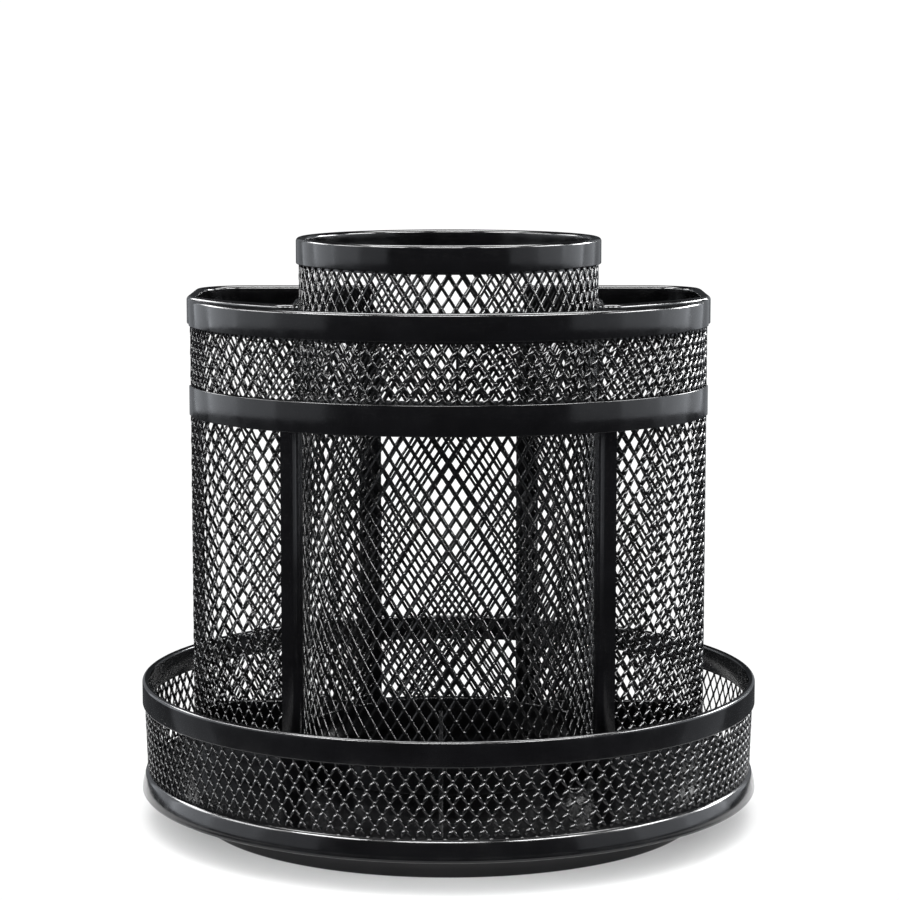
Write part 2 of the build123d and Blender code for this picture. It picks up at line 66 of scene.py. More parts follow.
FLOOR = low("cup_base_ring", Z)                     # top of the tray floor
TRAY_R = 88.5 * MM
TRAY_RIM = (low("tray_rim", Z), high("tray_rim", Z))
SKIRT_R = 88.8 * MM
FOOT_R = 72.6 * MM
FOOT_TOP = high("foot_dish", Z)
CUP_R = 42.4 * MM                                   # middle of the cup wall
CUP_RIM = (low("cup_rim", Z), high("cup_rim", Z))
BASE_TOP = high("cup_base_ring", Z)
BASE_HALF = 0.75 * MM                               # half the width of the base channels
WALL_START = FLOOR + 0.85 * MM                      # foot of the cup and bin walls
BIN_RIM = (low("bin_rim_right", Z), high("bin_rim_right", Z))
SHELF_PAN = (low("shelf_pan", Z), high("shelf_pan", Z))
SHELF_RIM = (low("shelf_rim", Z), high("shelf_rim", Z))
SHELF_A = 74.3 * MM
SHELF_B = 60.5 * MM
SHELF_END = -8.0 * MM
SHEET = 0.8 * MM                                    # pressed sheet of pan, foot and shelf
SHELF_FLOOR = SHELF_PAN[1] - SHEET

# bin outline, middle of the wall
BIN_X = 73.5 * MM
BIN_REAR = 38.2 * MM
BIN_REAR_END = 22.6 * MM
BIN_SIDE_FRONT = -5.6 * MM
BIN_BOW = (59.85 * MM, -24.0 * MM)
BIN_POST = (42.0 * MM, -38.4 * MM)
BIN_INNER_END = -15.0 * MM
BIN_REAR_ROUND = 13.0 * MM
BIN_SIDE_ROUND = 14.0 * MM
BIN_POST_ROUND = 2.5 * MM
POST_INSIDE = 46.2 * MM                             # front corner strips keep to |X| below this
POST_BEFORE = -30.2 * MM                            # and to Y below this
BIN_SMOOTHING = 6                                   # passes that ease the joins between arcs

# expanded metal
DIAMOND_W = 4.18 * MM
DIAMOND_H = 6.34 * MM
STRAND_W = 0.86 * MM
STRAND_T = 0.40 * MM
STRAND_TWIST = radians(26)                          # strands stand askew, as when stretched
BOND_W = 1.05 * MM
BOND_T = 0.56 * MM
BOND_H = 1.15 * MM
STRAND_EDGE = 0.07 * MM                             # bevels along the strands and bonds
BOND_EDGE = 0.10 * MM
BOND_TURN = 0.6                                     # bonds stand less askew than strands
BOND_REACH = 0.72 * BOND_H                          # from a joint to either end of its bond
STRAND_SINK = 0.08 * BOND_H                         # strands start this far above a joint
STRAND_SHIFT = 0.10 * STRAND_W                      # and this far to their own side
JOINT_WOBBLE = 0.035 * MM                           # spread of the joints about the even grid


# ---------------------------------------------------------------- plan paths
class Path:
    """A plan curve sampled evenly: points, outward normals and distance along it."""

    def __init__(self, points, closed=False, outward=None):
        self.points = np.array(points, float)
        self.closed = closed
        following = np.roll(self.points, -1, axis=0)
        before = np.roll(self.points, 1, axis=0)
        if not closed:
            following[-1] = self.points[-1]
            before[0] = self.points[0]
        along = following - before
        along /= np.linalg.norm(along, axis=1)[:, None]
        self.normals = np.stack([along[:, 1], -along[:, 0]], axis=1)
        if outward is not None:
            middle = len(self.points) // 2
            if np.dot(self.normals[middle], np.array(outward)) < 0:
                self.normals = -self.normals
        steps = np.linalg.norm(np.diff(self.points, axis=0), axis=1)
        self.distance = np.concatenate([[0.0], np.cumsum(steps)])
        self.length = self.distance[-1]
        if closed:
            self.length += np.linalg.norm(self.points[0] - self.points[-1])

    def at(self, u):
        """Point and outward normal at distance u along the curve."""
        distance = self.distance
        points = self.points
        normals = self.normals
        if self.closed:
            u = np.mod(u, self.length)
            distance = np.append(distance, self.length)
            points = np.vstack([points, points[:1]])
            normals = np.vstack([normals, normals[:1]])
        spot = [np.interp(u, distance, points[:, k]) for k in (0, 1)]
        facing = [np.interp(u, distance, normals[:, k]) for k in (0, 1)]
        size = np.hypot(facing[0], facing[1])
        return spot[0], spot[1], facing[0] / size, facing[1] / size


def resample(points, step):
    """The same open curve with evenly spaced points."""
    points = np.array(points, float)
    lengths = np.linalg.norm(np.diff(points, axis=0), axis=1)
    distance = np.concatenate([[0.0], np.cumsum(lengths)])
    count = max(2, int(round(distance[-1] / step)) + 1)
    spots = np.linspace(0.0, distance[-1], count)
    return np.stack([np.interp(spots, distance, points[:, k]) for k in (0, 1)], axis=1)


def circle_path(radius, count):
    """Closed circle about the centre line, as count points."""
    turns = np.linspace(0.0, 2 * pi, count, endpoint=False)
    points = np.stack([radius * np.cos(turns), radius * np.sin(turns)], axis=1)
    return Path(points, closed=True, outward=points[count // 2])


def lathe_path(count):
    """Circle of no size: a profile swept round it is turned about the centre line."""
    return circle_path(1e-9, count)


def rounded(corner, before, after, radius, steps=14):
    """Arc of the given radius that rounds a corner between two straight runs."""
    corner = np.array(corner)
    back = np.array(before) - corner
    ahead = np.array(after) - corner
    back /= np.linalg.norm(back)
    ahead /= np.linalg.norm(ahead)
    half = 0.5 * np.arccos(np.clip(np.dot(back, ahead), -1, 1))
    reach = radius / tan(half)
    centre = corner + (back + ahead) / np.linalg.norm(back + ahead) * radius / sin(half)
    start = corner + back * reach - centre
    end = corner + ahead * reach - centre
    a0 = atan2(start[1], start[0])
    a1 = atan2(end[1], end[0])
    turn = (a1 - a0 + pi) % (2 * pi) - pi
    angles = a0 + turn * np.linspace(0.0, 1.0, steps)
    return [centre + radius * np.array([cos(a), sin(a)]) for a in angles]


def arc_through(a, b, c, count=40):
    """Points of the circular arc from a through b to c."""
    a, b, c = (np.array(p, float) for p in (a, b, c))
    d = 2 * (a[0] * (b[1] - c[1]) + b[0] * (c[1] - a[1]) + c[0] * (a[1] - b[1]))
    sa, sb, sc = (np.dot(p, p) for p in (a, b, c))
    centre = np.array([
        (sa * (b[1] - c[1]) + sb * (c[1] - a[1]) + sc * (a[1] - b[1])) / d,
        (sa * (c[0] - b[0]) + sb * (a[0] - c[0]) + sc * (b[0] - a[0])) / d,
    ])
    radius = np.linalg.norm(a - centre)
    a0 = atan2(*(a - centre)[::-1])
    a1 = atan2(*(c - centre)[::-1])
    turn = (a1 - a0 + pi) % (2 * pi) - pi
    angles = a0 + turn * np.linspace(0.0, 1.0, count)
    return [centre + radius * np.array([cos(t), sin(t)]) for t in angles]


def bin_points():
    """Right-hand bin wall in plan, from beside the cup at the rear round to the front."""
    rear_corner = (BIN_X, BIN_REAR)
    side_corner = (BIN_X, BIN_SIDE_FRONT)
    bow = arc_through(side_corner, BIN_BOW, BIN_POST)    # its ends give way to the rounds
    points = [np.array((BIN_REAR_END, BIN_REAR))]
    points += rounded(rear_corner, points[0], side_corner, BIN_REAR_ROUND)
    points += rounded(side_corner, rear_corner, bow[4], BIN_SIDE_ROUND)
    points += bow[6:-5]
    points += rounded(BIN_POST, bow[-4], (BIN_POST[0], 0), BIN_POST_ROUND)
    points.append(np.array((BIN_POST[0], BIN_INNER_END)))
    points = resample(points, 0.6 * MM)
    for _ in range(BIN_SMOOTHING):
        points[1:-1] = 0.25 * points[:-2] + 0.5 * points[1:-1] + 0.25 * points[2:]
    return points


def bin_path(side):
    """Bin wall in plan: side is 1 for the right-hand bin and -1 for the left-hand one."""
    points = bin_points() * np.array([side, 1.0])
    return Path(points, outward=(side, 0.2))


def shelf_path():
    """Front curve of the shelf, from its left end to its right end."""
    start = np.arcsin(-SHELF_END / SHELF_B)
    turns = np.linspace(pi + start, 2 * pi - start, 400)
    points = np.stack([SHELF_A * np.cos(turns), SHELF_B * np.sin(turns)], axis=1)
    return Path(resample(points, 0.8 * MM), outward=(0, -1))


# ---------------------------------------------------------------- mesh makers
def make_object(name, vertices, faces, smooth=True):
    """New mesh object in the scene."""
    mesh = bpy.data.meshes.new(name)
    mesh.from_pydata([tuple(v) for v in vertices], [], [tuple(f) for f in faces])
    mesh.update()
    mesh.validate()
    piece = bpy.data.objects.new(name, mesh)
    bpy.context.scene.collection.objects.link(piece)
    if smooth:
        mesh.polygons.foreach_set("use_smooth", [True] * len(mesh.polygons))
    return piece


def sharpen(piece, angle=32.0):
    """Mark edges that bend more than the angle as sharp, so flats stay flat."""
    piece.data.set_sharp_from_angle(angle=radians(angle))


def sweep(name, path, profile, angle=32.0):
    """Closed profile of (out, up) points carried along a plan path."""
    profile = np.array(profile, float)
    count = len(path.points)
    ring = len(profile)
    out = path.points[:, None, :] + path.normals[:, None, :] * profile[None, :, 0:1]
    up = np.broadcast_to(profile[None, :, 1:2], (count, ring, 1))
    vertices = np.concatenate([out, up], axis=2).reshape(-1, 3)
    faces = []
    spans = count if path.closed else count - 1
    for i in range(spans):
        j = (i + 1) % count
        for k in range(ring):
            m = (k + 1) % ring
            faces.append((i * ring + k, j * ring + k, j * ring + m, i * ring + m))
    if not path.closed:
        faces.append(tuple(range(ring)))
        faces.append(tuple((count - 1) * ring + k for k in reversed(range(ring))))
    piece = make_object(name, vertices, faces)
    fix_normals(piece)
    sharpen(piece, angle)
    return piece


def fix_normals(piece):
    """Turn every face outwards."""
    work = bmesh.new()
    work.from_mesh(piece.data)
    bmesh.ops.recalc_face_normals(work, faces=work.faces)
    work.to_mesh(piece.data)
    work.free()


def corner_arc(centre, radius, start, end, steps=6):
    """Profile points on an arc; angles in degrees, 0 outwards and 90 up."""
    angles = np.radians(np.linspace(start, end, steps))
    return [(centre[0] + radius * cos(a), centre[1] + radius * sin(a)) for a in angles]


def band_profile(out, inside, bottom, top, roll, inner_drop=0.7 * MM):
    """Folded rim band: flat outer leaf, rolled top, inner leaf a little longer below."""
    edge = 0.28 * MM
    middle = (out + inside) / 2
    points = []
    points += corner_arc((out - edge, bottom + edge), edge, -90, 0, 4)
    points += corner_arc((out - roll, top - roll), roll, 0, 90, 8)
    points += corner_arc((inside + roll, top - roll), roll, 90, 180, 8)
    points += corner_arc((inside + edge, bottom - inner_drop + edge), edge, 180, 270, 4)
    points += [(middle - 0.25 * MM, bottom - inner_drop), (middle - 0.25 * MM, bottom)]
    return points


def strip_profile(out, inside, bottom, top):
    """Plain strip with small rounded edges."""
    edge = 0.3 * (out - inside)
    points = []
    points += corner_arc((out - edge, bottom + edge), edge, -90, 0, 4)
    points += corner_arc((out - edge, top - edge), edge, 0, 90, 4)
    points += corner_arc((inside + edge, top - edge), edge, 90, 180, 4)
    points += corner_arc((inside + edge, bottom + edge), edge, 180, 270, 4)
    return points


# ---------------------------------------------------------------- expanded metal
def strand_section(width, thick, bevel, twist):
    """Flat bar with bevelled edges, turned about its length: (across, out) points."""
    w = width / 2
    t = thick / 2
    points = np.array([
        (w - bevel, -t), (w, -t + bevel), (w, t - bevel), (w - bevel, t),
        (-w + bevel, t), (-w, t - bevel), (-w, -t + bevel), (-w + bevel, -t),
    ])
    turn = np.array([(cos(twist), sin(twist)), (-sin(twist), cos(twist))])
    return points @ turn


def end_caps(low_ring, high_ring):
    """Quads that close both ends of eight-sided bars, from their rings of vertex numbers."""
    caps = []
    for corners in ((0, 1, 2, 3), (0, 3, 4, 7), (4, 5, 6, 7)):
        caps.append(low_ring[:, corners[::-1]])
        caps.append(high_ring[:, corners])
    return np.concatenate(caps)


def lattice_joints(path, bottom, top, phase, seed):
    """Flat (along, up) places of the joints, row by row, and how many stand in a row."""
    columns = int(round(path.length / DIAMOND_W))
    if path.closed:
        pitch = path.length / columns
        first = 0
        last = columns
    else:
        pitch = DIAMOND_W
        first = -1
        last = columns + 2
    rows = 2 * (int(np.ceil((top - bottom) / DIAMOND_H)) + 2)
    start_z = bottom - DIAMOND_H * (1.0 - phase)
    joints = np.array([
        ((column + 0.5 * (row % 2)) * pitch, start_z + 0.5 * row * DIAMOND_H)
        for row in range(rows + 1)
        for column in range(first, last)
    ])
    wobble = np.random.default_rng(seed).normal(0.0, JOINT_WOBBLE, (2, len(joints)))
    return joints + wobble.T, last - first


def lattice_strands(path, joints, width):
    """Both ends of every strand: two rise from each joint to the row above it."""
    starts = []
    ends = []
    for row in range(len(joints) // width - 1):
        for column in range(width):
            for target in (column - 1 + row % 2, column + row % 2):
                laps, wrapped = divmod(target, width)
                if laps != 0 and not path.closed:
                    continue
                end = joints[(row + 1) * width + wrapped]
                starts.append(joints[row * width + column])
                ends.append((end[0] + laps * path.length, end[1]))
    starts = np.array(starts)
    ends = np.array(ends)
    starts[:, 1] += STRAND_SINK
    ends[:, 1] -= STRAND_SINK
    side = np.sign(ends[:, 0] - starts[:, 0])
    starts[:, 0] += side * STRAND_SHIFT
    ends[:, 0] -= side * STRAND_SHIFT
    return starts, ends


def bend_bars(path, offset_at, low_ends, high_ends, section, closed):
    """Bars of one section laid along flat lines and bent round a plan path."""
    along = high_ends - low_ends
    along /= np.linalg.norm(along, axis=1)[:, None]
    across = np.stack([along[:, 1], -along[:, 0]], axis=1)
    count = len(low_ends)
    ring = len(section)
    flat = np.zeros((count, 2, ring, 3))
    for end, centre in enumerate((low_ends, high_ends)):
        flat[:, end, :, 0:2] = centre[:, None, :] + across[:, None, :] * section[None, :, 0:1]
        flat[:, end, :, 2] = section[None, :, 1]
    flat = flat.reshape(-1, 3)
    px, py, nx, ny = path.at(flat[:, 0])
    out = offset_at(flat[:, 1]) + flat[:, 2]
    vertices = np.stack([px + nx * out, py + ny * out, flat[:, 1]], axis=1)
    low_ring = 2 * ring * np.arange(count)[:, None] + np.arange(ring)[None, :]
    high_ring = low_ring + ring
    next_low = np.roll(low_ring, -1, axis=1)
    next_high = np.roll(high_ring, -1, axis=1)
    sides = np.stack([low_ring, next_low, next_high, high_ring], axis=2)
    faces = [sides.reshape(-1, 4)]
    if closed:
        faces.append(end_caps(low_ring, high_ring))
    return vertices, np.concatenate(faces)


def expanded_metal(name, path, bottom, top, offset_at, phase, seed, handed=1, capped=True):
    """Lattice of flat strands joined by short upright bonds, bent round a plan path.

    offset_at(z) is how far the middle of the sheet stands outside the path at height z.
    Uncapped strands end inside the bonds; the bonds are always closed.
    """
    joints, width = lattice_joints(path, bottom, top, phase, seed)
    strands = lattice_strands(path, joints, width)
    reach = np.array((0.0, BOND_REACH))
    bonds = (joints - reach, joints + reach)
    twist = handed * STRAND_TWIST
    strand = strand_section(STRAND_W, STRAND_T, STRAND_EDGE, twist)
    bond = strand_section(BOND_W, BOND_T, BOND_EDGE, BOND_TURN * twist)
    vertices = []
    faces = []
    base = 0
    for (low_ends, high_ends), section, closed in ((strands, strand, capped), (bonds, bond, True)):
        low_ends, high_ends = clip_bars(low_ends, high_ends, bottom, top, 1)
        if not path.closed:
            low_ends, high_ends = clip_bars(low_ends, high_ends, 0.0, path.length, 0)
        points, quads = bend_bars(path, offset_at, low_ends, high_ends, section, closed)
        vertices.append(points)
        faces.append(quads + base)
        base += len(points)
    return fast_object(name, np.concatenate(vertices), np.concatenate(faces))


def steady(distance):
    """An offset for expanded_metal that is the same at every height."""
    return lambda z: np.full_like(z, distance)


def clip_bars(a, b, lowest, highest, axis):
    """Cut bars to a range along one flat axis and drop the ones outside it."""
    reaches_up = np.maximum(a[:, axis], b[:, axis]) > lowest
    reaches_down = np.minimum(a[:, axis], b[:, axis]) < highest
    keep = reaches_up & reaches_down
    a = a[keep].copy()
    b = b[keep].copy()
    for first, second in ((a, b), (b, a)):
        for limit, below in ((lowest, True), (highest, False)):
            beyond = first[:, axis] < limit if below else first[:, axis] > limit
            span = second[beyond, axis] - first[beyond, axis]
            part = (limit - first[beyond, axis]) / span
            first[beyond] += (second[beyond] - first[beyond]) * part[:, None]
    long_enough = np.linalg.norm(b - a, axis=1) > 0.05 * MM
    return a[long_enough], b[long_enough]


def fast_object(name, vertices, faces):
    """Flat shaded quad mesh straight from arrays."""
    mesh = bpy.data.meshes.new(name)
    mesh.vertices.add(len(vertices))
    mesh.vertices.foreach_set("co", vertices.astype(np.float32).ravel())
    mesh.loops.add(4 * len(faces))
    mesh.loops.foreach_set("vertex_index", faces.astype(np.int32).ravel())
    mesh.polygons.add(len(faces))
    mesh.polygons.foreach_set("loop_start", np.arange(0, 4 * len(faces), 4, dtype=np.int32))
    mesh.update(calc_edges=True)
    mesh.validate()
    piece = bpy.data.objects.new(name, mesh)
    bpy.context.scene.collection.objects.link(piece)
    return piece


# ---------------------------------------------------------------- materials
def new_material(name):
    """Material with one Principled shader wired to its output."""
    material = bpy.data.materials.new(name)
    material.use_nodes = True
    tree = material.node_tree
    tree.nodes.clear()
    shader = tree.nodes.new("ShaderNodeBsdfPrincipled")
    output = tree.nodes.new("ShaderNodeOutputMaterial")
    tree.links.new(shader.outputs["BSDF"], output.inputs["Surface"])
    return material, tree, shader


NOISE_LOW = 0.3                                     # most of a noise lies between these
NOISE_HIGH = 0.7


def noise(tree, scale, detail, roughness=0.5):
    """Noise fixed to the piece; returns its value socket."""
    coordinates = tree.nodes.new("ShaderNodeTexCoord")
    texture = tree.nodes.new("ShaderNodeTexNoise")
    texture.inputs["Scale"].default_value = scale
    texture.inputs["Detail"].default_value = detail
    texture.inputs["Roughness"].default_value = roughness
    tree.links.new(coordinates.outputs["Object"], texture.inputs["Vector"])
    return texture.outputs["Fac"]


def spread(tree, value, low_value, high_value):
    """Map a noise value to a range."""
    node = tree.nodes.new("ShaderNodeMapRange")
    node.inputs["From Min"].default_value = NOISE_LOW
    node.inputs["From Max"].default_value = NOISE_HIGH
    node.inputs["To Min"].default_value = low_value
    node.inputs["To Max"].default_value = high_value
    tree.links.new(value, node.inputs["Value"])
    return node.outputs["Result"]


def ramp(tree, value, dark, light, start=NOISE_LOW, end=NOISE_HIGH):
    """Colour that runs from dark to light as a noise value rises from start to end."""
    node = tree.nodes.new("ShaderNodeValToRGB")
    for element, position, color in zip(node.color_ramp.elements, (start, end), (dark, light)):
        element.position = position
        element.color = (*color, 1.0)
    tree.links.new(value, node.inputs["Fac"])
    return node.outputs["Color"]


def bump(tree, shader, layers):
    """Chain of bumps; each layer is (height socket, strength, distance)."""
    previous = None
    for height, strength, distance in layers:
        node = tree.nodes.new("ShaderNodeBump")
        node.inputs["Strength"].default_value = strength
        node.inputs["Distance"].default_value = distance
        tree.links.new(height, node.inputs["Height"])
        if previous is not None:
            tree.links.new(previous, node.inputs["Normal"])
        previous = node.outputs["Normal"]
    tree.links.new(previous, shader.inputs["Normal"])


COATING_IOR = 1.34


def black_coating(name, base, rough, peel):
    """Gloss black baked coating with a faint orange peel and patchy gloss."""
    material, tree, shader = new_material(name)
    tone = noise(tree, 90.0, 3.0)
    dark = tuple(0.75 * c for c in base)
    light = tuple(1.35 * c for c in base)
    tree.links.new(ramp(tree, tone, dark, light), shader.inputs["Base Color"])
    patchy = noise(tree, 160.0, 4.0, 0.6)
    tree.links.new(spread(tree, patchy, rough - 0.05, rough + 0.07), shader.inputs["Roughness"])
    shader.inputs["IOR"].default_value = COATING_IOR
    bump(tree, shader, [
        (noise(tree, 900.0, 1.0), peel, 0.00006),
        (noise(tree, 4200.0, 2.0), 0.5 * peel, 0.000012),
    ])
    return material


def rubber():
    """Matt black rubber of the feet."""
    material, tree, shader = new_material("soft_rubber")
    tone = noise(tree, 700.0, 3.0)
    color = ramp(tree, tone, (0.016, 0.016, 0.016), (0.032, 0.031, 0.030))
    tree.links.new(color, shader.inputs["Base Color"])
    tree.links.new(spread(tree, tone, 0.62, 0.85), shader.inputs["Roughness"])
    bump(tree, shader, [(noise(tree, 3000.0, 3.0), 0.35, 0.00005)])
    return material


def plated_steel(name, tint, rough):
    """Zinc-plated or bright steel with fine turning marks and slight staining."""
    material, tree, shader = new_material(name)
    stain = noise(tree, 260.0, 4.0, 0.6)
    dark = tuple(0.72 * c for c in tint)
    tree.links.new(ramp(tree, stain, dark, tint, 0.35, 0.65), shader.inputs["Base Color"])
    shader.inputs["Metallic"].default_value = 1.0
    tree.links.new(spread(tree, stain, rough, rough + 0.14), shader.inputs["Roughness"])
    bump(tree, shader, [(noise(tree, 2400.0, 2.0), 0.25, 0.00002)])
    return material


def nylon():
    """Off-white nylon of the ball cage and the bushing."""
    material, tree, shader = new_material("natural_nylon")
    tone = noise(tree, 300.0, 3.0)
    color = ramp(tree, tone, (0.70, 0.69, 0.64), (0.82, 0.81, 0.77))
    tree.links.new(color, shader.inputs["Base Color"])
    tree.links.new(spread(tree, tone, 0.38, 0.52), shader.inputs["Roughness"])
    shader.inputs["Subsurface Weight"].default_value = 0.12
    shader.inputs["Subsurface Radius"].default_value = (0.002, 0.002, 0.0015)
    bump(tree, shader, [(noise(tree, 2600.0, 2.0), 0.2, 0.00002)])
    return material


BAND = black_coating("black_coated_steel", (0.0013, 0.0013, 0.0015), 0.15, 0.08)
MESH = black_coating("black_expanded_metal", (0.0011, 0.0011, 0.0012), 0.15, 0.08)
RUBBER = rubber()
ZINC = plated_steel("zinc_steel", (0.62, 0.63, 0.64), 0.22)
RIVET = plated_steel("rivet_steel", (0.50, 0.50, 0.51), 0.26)
BRIGHT = plated_steel("bearing_steel", (0.72, 0.72, 0.73), 0.06)
NYLON = nylon()

MATERIALS = {
    "black_coated_steel": BAND,
    "black_expanded_metal": MESH,
    "black_rubber": RUBBER,
    "zinc_steel": ZINC,
    "rivet_steel": RIVET,
    "bearing_steel": BRIGHT,
    "white_nylon": NYLON,
}


def finish_cad_nodes():
    """Every carried-over CAD node gets the material of its record slot."""
    for row in frame["record"]["subparts"]:
        node = frame["nodes"][row["node"]]
        node.data.materials.clear()
        node.data.materials.append(MATERIALS[row["material_slot"]])


def place(piece, node, slot, body="rotor"):
    """Give a new piece its material and body, and hide the CAD node it stands for."""
    piece.data.materials.append(MATERIALS[slot])
    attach(piece, body)
    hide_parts(node)
    return piece


# ---------------------------------------------------------------- foot and tray
def build_foot():
    """Shallow dish with a rounded shoulder and a rolled hem just above the desk."""
    hem = 0.7 * MM
    inner = 5.05 * MM
    bend = 3.4 * MM
    shoulder = FOOT_R - bend
    hem_z = low("foot_dish", Z) + hem
    profile = [(inner, FOOT_TOP - SHEET), (inner, FOOT_TOP)]
    profile += corner_arc((shoulder, FOOT_TOP - bend), bend, 90, 0, 10)
    profile += corner_arc((FOOT_R - hem, hem_z), hem, 0, -180, 10)
    profile += corner_arc((shoulder, FOOT_TOP - bend), bend - SHEET, 0, 90, 10)
    foot = sweep("foot_dish_skin", lathe_path(240), profile)
    place(foot, "foot_dish", "black_coated_steel", "foot")


def build_tray_pan():
    """Floor, crown under the mesh, skirt spreading to a rolled bead."""
    bead = 0.75 * MM
    inner = 3.05 * MM
    crown_round = 2.07 * MM
    crown = (86.0 * MM, FLOOR - crown_round)
    bead_at = (SKIRT_R - bead, FLOOR - 5.75 * MM)
    outer_face = [(88.28, -2.6), (88.50, -3.45), (88.66, -4.25), (88.75, -4.95)]
    inner_face = [(87.72, -4.6), (87.62, -3.4)]
    profile = [(inner, FLOOR - SHEET), (inner, FLOOR)]
    profile += corner_arc(crown, crown_round, 90, 18, 12)
    profile += [(r * MM, FLOOR + z * MM) for r, z in outer_face]
    profile += corner_arc(bead_at, bead, 20, -160, 16)
    profile += [(r * MM, FLOOR + z * MM) for r, z in inner_face]
    profile += corner_arc(crown, crown_round - SHEET, 18, 90, 10)
    pan = sweep("tray_pan_skin", lathe_path(320), profile)
    place(pan, "tray_pan", "black_coated_steel")


def build_tray_rim():
    """Folded band round the top of the tray wall."""
    profile = band_profile(0.0, -1.9 * MM, TRAY_RIM[0], TRAY_RIM[1], 0.92 * MM, 0.5 * MM)
    rim = sweep("tray_rim_band", circle_path(TRAY_R, 320), profile)
    place(rim, "tray_rim", "black_coated_steel")


def build_tray_wall():
    """Low ring of expanded metal between the pan and the rim."""
    path = circle_path(TRAY_R, 320)
    bottom = FLOOR + 0.05 * MM
    top = TRAY_RIM[1] - 2.4 * MM

    def offset(z):
        """The wall leans out a little towards its rim."""
        return -1.6 * MM + 0.7 * MM * (z - bottom) / (top - bottom)

    wall = expanded_metal("tray_wall_mesh", path, bottom, top, offset, 0.35, 3)
    place(wall, "tray_mesh", "black_expanded_metal")


def divider_plate(name, node, x, half, outline, bead):
    """Upright plate across X with a rolled bead along its open edges."""
    outline = np.array(outline)
    count = len(outline)
    vertices = [(x - half, y, z) for y, z in outline] + [(x + half, y, z) for y, z in outline]
    faces = [tuple(range(count)), tuple(2 * count - 1 - k for k in range(count))]
    for k in range(count):
        m = (k + 1) % count
        faces.append((k, k + count, m + count, m))
    plate = make_object(name, vertices, faces, smooth=False)
    fix_normals(plate)
    work = bmesh.new()
    work.from_mesh(plate.data)
    bmesh.ops.bevel(work, geom=list(work.edges), offset=bead, segments=3, profile=0.5,
                    affect="EDGES", clamp_overlap=True)
    work.to_mesh(plate.data)
    work.free()
    sharpen(plate, 40)
    place(plate, node, "black_coated_steel")


def build_dividers():
    """The tray divider, and the shelf divider with its top set back behind the shelf rim."""
    front_low, front_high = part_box("tray_divider")
    x = (front_low[X] + front_high[X]) / 2
    inner_round = 5 * MM
    corner = corner_arc((front_high[Y] - inner_round, front_high[Z] - inner_round), inner_round, 0, 90, 9)
    outline = [(front_low[Y], front_low[Z]), (front_high[Y], front_low[Z])] + corner
    outline += [(front_low[Y] + 0.7 * MM, front_high[Z]), (front_low[Y], front_high[Z] - 8 * MM)]
    divider_plate("tray_divider_plate", "tray_divider", x, 0.55 * MM, outline, 0.3 * MM)
    shelf_low, shelf_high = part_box("shelf_divider")
    x = (shelf_low[X] + shelf_high[X]) / 2
    step_y = shelf_low[Y] + 1.0 * MM
    step_z = SHELF_RIM[0] - 0.4 * MM
    outline = [
        (shelf_low[Y], shelf_low[Z]), (shelf_high[Y], shelf_low[Z]),
        (shelf_high[Y], shelf_high[Z]), (step_y, shelf_high[Z]),
        (step_y, step_z), (shelf_low[Y], step_z),
    ]
    divider_plate("shelf_divider_plate", "shelf_divider", x, 0.4 * MM, outline, 0.22 * MM)


# ---------------------------------------------------------------- cup
def build_cup():
    """Tall round cup: wall, rim band and base channel."""
    path = circle_path(CUP_R, 240)
    top = CUP_RIM[1] - 2.4 * MM
    name = "cup_wall_mesh"
    wall = expanded_metal(name, path, WALL_START, top, steady(0.0), 0.6, 11, capped=False)
    place(wall, "cup_mesh", "black_expanded_metal")
    profile = band_profile(1.1 * MM, -1.1 * MM, CUP_RIM[0], CUP_RIM[1], 1.05 * MM)
    place(sweep("cup_rim_band", path, profile), "cup_rim", "black_coated_steel")
    profile = strip_profile(BASE_HALF, -BASE_HALF, FLOOR, BASE_TOP)
    place(sweep("cup_base_channel", path, profile), "cup_base_ring", "black_coated_steel")


# ---------------------------------------------------------------- bins
def build_bin(side, word):
    """One side bin: wall, rim band and base channel."""
    path = bin_path(side)
    top = BIN_RIM[1] - 2.5 * MM
    name = f"bin_wall_mesh_{word}"
    wall = expanded_metal(name, path, WALL_START, top, steady(0.0), 0.2, 20 + side, handed=-side)
    place(wall, f"bin_mesh_{word}", "black_expanded_metal")
    profile = band_profile(1.2 * MM, -1.2 * MM, BIN_RIM[0], BIN_RIM[1], 1.15 * MM)
    rim = sweep(f"bin_rim_band_{word}", path, profile)
    place(rim, f"bin_rim_{word}", "black_coated_steel")
    profile = strip_profile(BASE_HALF, -BASE_HALF, FLOOR, BASE_TOP)
    base = sweep(f"bin_base_channel_{word}", path, profile)
    place(base, f"bin_base_strip_{word}", "black_coated_steel")


def build_front_post(side, word):
    """Corner strip that follows the bin wall round its front inner corner."""
    node = f"front_post_{word}"
    lowest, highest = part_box(node)
    path = bin_path(side)
    near_cup = np.abs(path.points[:, X]) < POST_INSIDE
    near_front = path.points[:, Y] < POST_BEFORE
    corner = path.points[near_cup & near_front]
    strip = Path(corner, outward=path.at(path.length - 22 * MM)[2:4])
    if np.dot(strip.normals[0], path.at(path.length - 29 * MM)[2:4]) < 0:
        strip.normals = -strip.normals
    profile = strip_profile(1.6 * MM, 0.75 * MM, lowest[Z], highest[Z])
    place(sweep(f"front_post_strip_{word}", strip, profile), node, "black_coated_steel")


def build_rear_post(word):
    """Flat seam strip at the inner rear end of a bin."""
    node = f"rear_post_{word}"
    lowest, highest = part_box(node)
    middle = (lowest[Y] + highest[Y]) / 2
    points = resample([(lowest[X], middle), (highest[X], middle)], 0.8 * MM)
    profile = strip_profile(0.4 * MM, -0.4 * MM, lowest[Z], highest[Z])
    strip = sweep(f"rear_post_strip_{word}", Path(points, outward=(0, 1)), profile)
    place(strip, node, "black_coated_steel")


